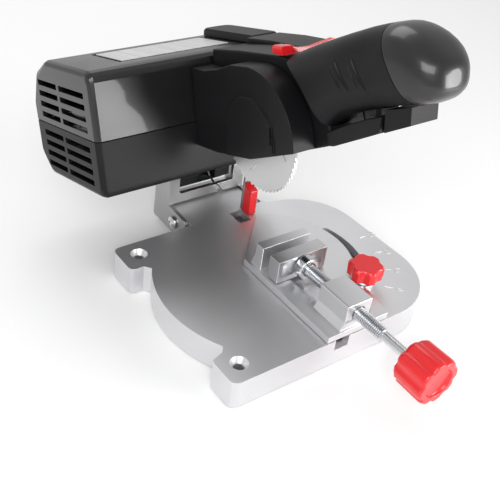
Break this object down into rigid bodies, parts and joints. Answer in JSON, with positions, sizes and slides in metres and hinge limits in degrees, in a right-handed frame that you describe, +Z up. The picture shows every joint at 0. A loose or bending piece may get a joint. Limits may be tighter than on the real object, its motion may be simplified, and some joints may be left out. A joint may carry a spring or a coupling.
{
  "type": "miniature cut-off saw",
  "caption": "Small bench cut-off saw: cast base, swivelling screw vise, and a sprung motor head that tips a toothed blade down on a rear hinge.",
  "frame": {"origin": "base underside, in the blade plane, level with the vise swivel axis", "axes": "+Z up, the operator stands on the -Y side, +X to the operator's right, blade plane X = 0"},
  "size_m": [0.1309, 0.2148, 0.1533],
  "materials": {
    "cast_aluminium": "satin, lightly blasted casting",
    "machined_aluminium": "machined",
    "bracket_steel": "satin plated sheet",
    "zinc_steel": "bright zinc plated",
    "dark_steel": "oiled dark steel",
    "blade_steel": "ground",
    "black_plastic": "satin black moulding",
    "gloss_black": "polished black moulding",
    "red_plastic": "bright red moulding",
    "label_foil": "plain silver foil, no print",
    "copper": "copper colour",
    "carbon": "dull black",
    "belt_rubber": "matt",
    "white_plastic": "off-white moulding"
  },
  "bodies": {
    "base": {"base_plate": "cast_aluminium", "head_bracket": "bracket_steel", "bracket_screw_left": "zinc_steel", "bracket_screw_right": "zinc_steel", "stop_post": "red_plastic", "stop_strip": "bracket_steel", "hinge_pin": "zinc_steel", "hinge_spring": "dark_steel", "vise_pivot": "zinc_steel"},
    "vise": {"vise_body": "cast_aluminium", "lock_bolt": "zinc_steel", "lock_washer": "zinc_steel"},
    "lock_knob": {"lock_knob": "red_plastic"},
    "jaw": {"movable_jaw": "machined_aluminium"},
    "screw": {"lead_screw": "zinc_steel", "screw_collar": "zinc_steel", "screw_knob": "red_plastic"},
    "head": {"housing_upper": "gloss_black", "housing_lower": "black_plastic", "rating_plate": "label_foil", "rear_deck": "black_plastic", "blade_guard": "black_plastic", "arm_case_left": "black_plastic", "arm_case_right": "black_plastic", "grip": "black_plastic", "palm_end": "gloss_black", "handle_rail": "black_plastic", "trigger_pin": "zinc_steel", "switch_body": "carbon", "cord_gland": "black_plastic", "motor_field": "dark_steel", "drive_belt": "belt_rubber", "bearing_rear": "zinc_steel", "bearing_drive": "zinc_steel", "bearing_arbor": "zinc_steel", "brush_box_top": "carbon", "brush_box_bottom": "carbon", "brush_top": "carbon", "brush_bottom": "carbon"},
    "trigger": {"trigger": "gloss_black"},
    "lever": {"lock_off_lever": "red_plastic"},
    "rotor": {"armature": "copper", "motor_shaft": "zinc_steel", "commutator": "copper", "cooling_fan": "white_plastic", "motor_pulley": "machined_aluminium"},
    "arbor": {"arbor": "zinc_steel", "saw_blade": "blade_steel", "outer_flange": "zinc_steel", "blade_screw": "zinc_steel", "arbor_pulley": "machined_aluminium"}
  },
  "joints": [
    {"name": "head_tilt", "type": "hinge", "parent": "base", "child": "head", "pos_m": [0.0182, 0.0705, 0.0315], "axis": [1, 0, 0], "range_deg": [0, 32], "stiffness_Nm_per_rad": 0.3, "springref_deg": -57.3},
    {"name": "motor_spin", "type": "hinge", "parent": "head", "child": "rotor", "pos_m": [0, 0.07615, 0.06466], "axis": [1, 0, 0], "continuous": true},
    {"name": "blade_spin", "type": "hinge", "parent": "head", "child": "arbor", "pos_m": [0, 0.0062, 0.08413], "axis": [1, 0, 0], "continuous": true},
    {"name": "trigger_squeeze", "type": "hinge", "parent": "head", "child": "trigger", "pos_m": [0.011, -0.03815, 0.10623], "axis": [-1, 0, 0], "range_deg": [0, 4], "stiffness_Nm_per_rad": 0.03, "springref_deg": -17.19},
    {"name": "lock_off_press", "type": "hinge", "parent": "head", "child": "lever", "pos_m": [0.0195, 0.00699, 0.11706], "axis": [0, 0.9588, -0.284], "range_deg": [0, 6], "stiffness_Nm_per_rad": 0.005, "springref_deg": -17.19},
    {"name": "vise_swivel", "type": "hinge", "parent": "base", "child": "vise", "pos_m": [0.0178, 0, 0.0143], "axis": [0, 0, 1], "range_deg": [0, 45]},
    {"name": "lock_knob_turn", "type": "hinge", "parent": "vise", "child": "lock_knob", "pos_m": [0.04245, -0.03099, 0.02], "axis": [0, 0, 1], "range_deg": [0, 300]},
    {"name": "jaw_slide", "type": "slide", "parent": "vise", "child": "jaw", "axis": [0, 1, 0], "range_m": [-0.0141, 0.0044]},
    {"name": "screw_turn", "type": "hinge", "parent": "jaw", "child": "screw", "pos_m": [0.0178, -0.06, 0.0243], "axis": [0, 1, 0], "range_deg": [-5090, 1600]}
  ],
  "couplings": [
    {"joint": "blade_spin", "follows": "motor_spin", "ratio": 1},
    {"joint": "screw_turn", "follows": "jaw_slide", "rad_per_m": 6283.2}
  ]
}
